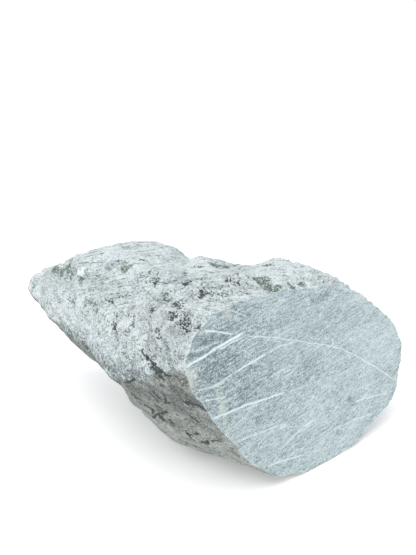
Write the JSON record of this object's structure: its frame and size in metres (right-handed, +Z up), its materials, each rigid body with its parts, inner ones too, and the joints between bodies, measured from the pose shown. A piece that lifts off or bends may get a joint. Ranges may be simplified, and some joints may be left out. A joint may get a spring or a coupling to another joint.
{
  "type": "raw soapstone block",
  "caption": "Rough quarried lump of pale green-grey soapstone with one flat sawn face, for carving or display.",
  "frame": {"origin": "middle of the stone's bounding box in plan, on the surface it rests on", "axes": "+X out of the sawn face, away from the tapering nose; +Y along the sawn face; +Z up as the stone rests"},
  "size_m": [0.3096, 0.2534, 0.1525],
  "materials": {
    "soapstone": "chalky rough crust, with a finely sawn matt face"
  },
  "bodies": {
    "root": {"soapstone_block": "soapstone"}
  },
  "joints": []
}
